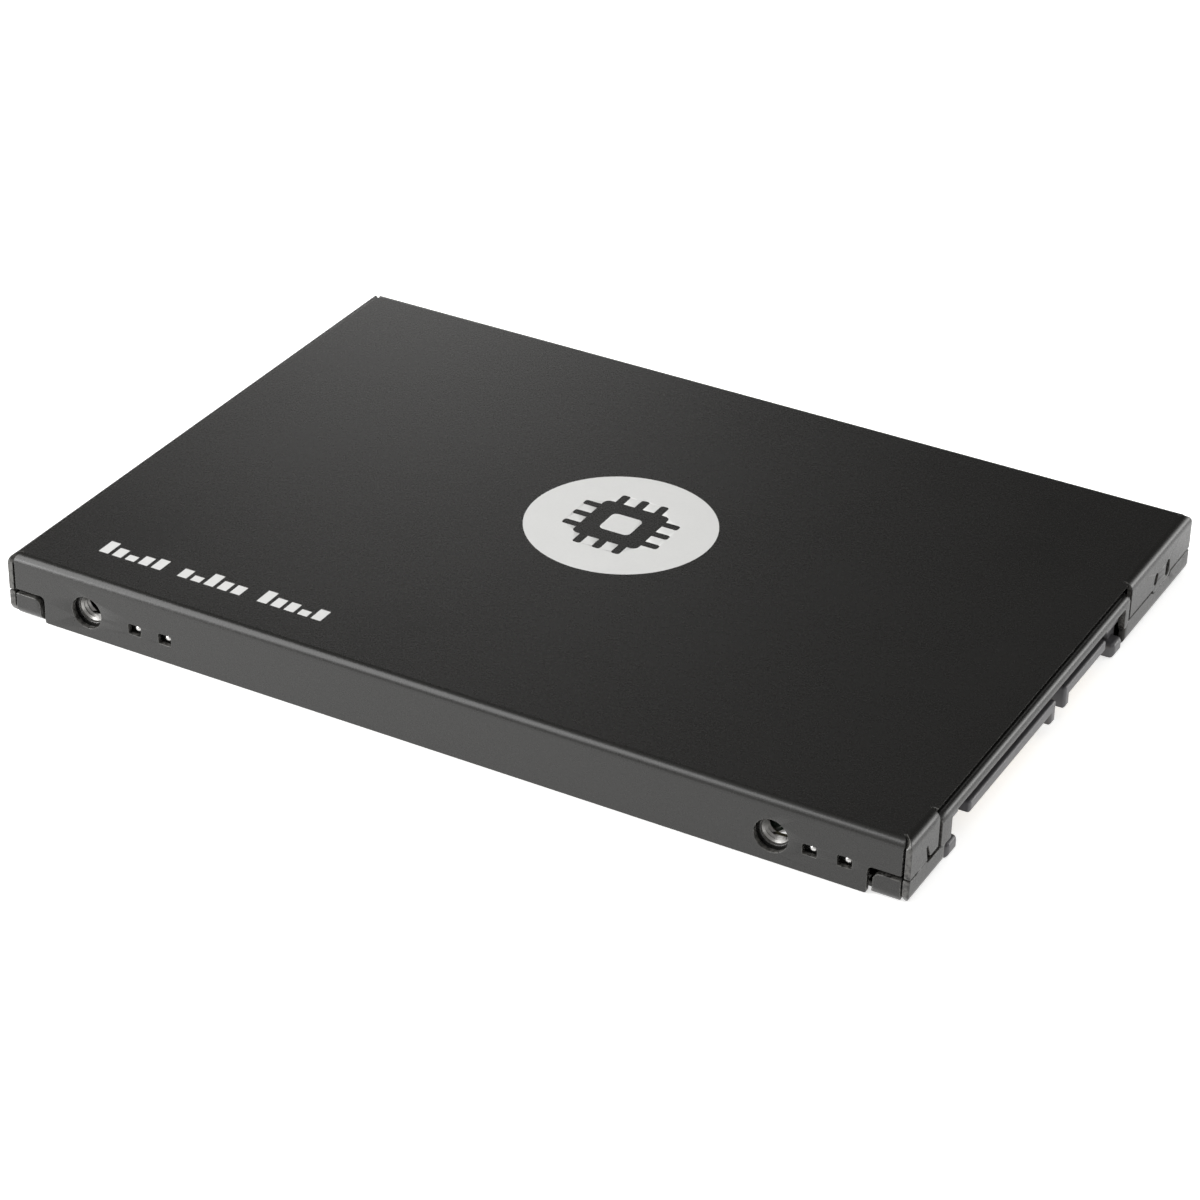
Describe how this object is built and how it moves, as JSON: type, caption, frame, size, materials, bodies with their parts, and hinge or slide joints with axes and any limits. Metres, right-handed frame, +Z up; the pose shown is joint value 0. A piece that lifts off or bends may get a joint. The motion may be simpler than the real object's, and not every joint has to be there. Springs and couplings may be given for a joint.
{
  "type": "solid state drive",
  "caption": "Slim 2.5-inch solid state drive: pressed-metal top cover and tray, circuit board with memory chips, and a combined data and power plug at the end.",
  "frame": {"origin": "middle of the underside, on the surface the drive rests on", "axes": "+X out of the connector end, along the length; +Y across the drive, towards the data contacts; +Z up to the printed top"},
  "size_m": [0.1002, 0.0698, 0.007],
  "materials": {
    "case_paint": "fine-textured satin black paint",
    "plug_plastic": "moulded black glass-filled plastic",
    "contact_gold": "gold plate",
    "plated_steel": "bright plating",
    "board_laminate": "green solder resist on glass laminate",
    "chip_epoxy": "matt black moulding compound",
    "ferrite_core": "dull grey ferrite",
    "capacitor_case": "ochre moulded case",
    "thermal_pad": "soft blue-grey gel",
    "clear_film": "thin translucent film",
    "bare_metal": "bright cut metal",
    "print_ink": "pale grey screen print",
    "label_stock": "silver-white polyester label"
  },
  "bodies": {
    "root": {"top_cover": "case_paint", "bottom_cover": "case_paint", "connector_housing": "plug_plastic", "circuit_board": "board_laminate", "insulating_sheet": "clear_film", "board_lock_power_side": "plated_steel", "board_lock_signal_side": "plated_steel", "controller_chip": "chip_epoxy", "thermal_pad": "thermal_pad", "regulator_chip": "chip_epoxy", "clock_crystal": "plated_steel", "flash_chip_1": "chip_epoxy", "flash_chip_2": "chip_epoxy", "flash_chip_3": "chip_epoxy", "flash_chip_4": "chip_epoxy", "power_inductor_1": "ferrite_core", "power_inductor_2": "ferrite_core", "filter_capacitor_1": "capacitor_case", "filter_capacitor_2": "capacitor_case", "filter_capacitor_3": "capacitor_case", "filter_capacitor_4": "capacitor_case", "filter_capacitor_5": "capacitor_case", "filter_capacitor_6": "capacitor_case", "board_screw_1": "plated_steel", "board_screw_2": "plated_steel", "board_screw_3": "plated_steel", "board_screw_4": "plated_steel", "power_contact_1": "contact_gold", "power_contact_2": "contact_gold", "power_contact_3": "contact_gold", "power_contact_4": "contact_gold", "power_contact_5": "contact_gold", "power_contact_6": "contact_gold", "power_contact_7": "contact_gold", "power_contact_8": "contact_gold", "power_contact_9": "contact_gold", "power_contact_10": "contact_gold", "power_contact_11": "contact_gold", "power_contact_12": "contact_gold", "power_contact_13": "contact_gold", "power_contact_14": "contact_gold", "power_contact_15": "contact_gold", "signal_contact_1": "contact_gold", "signal_contact_2": "contact_gold", "signal_contact_3": "contact_gold", "signal_contact_4": "contact_gold", "signal_contact_5": "contact_gold", "signal_contact_6": "contact_gold", "signal_contact_7": "contact_gold"}
  },
  "joints": []
}
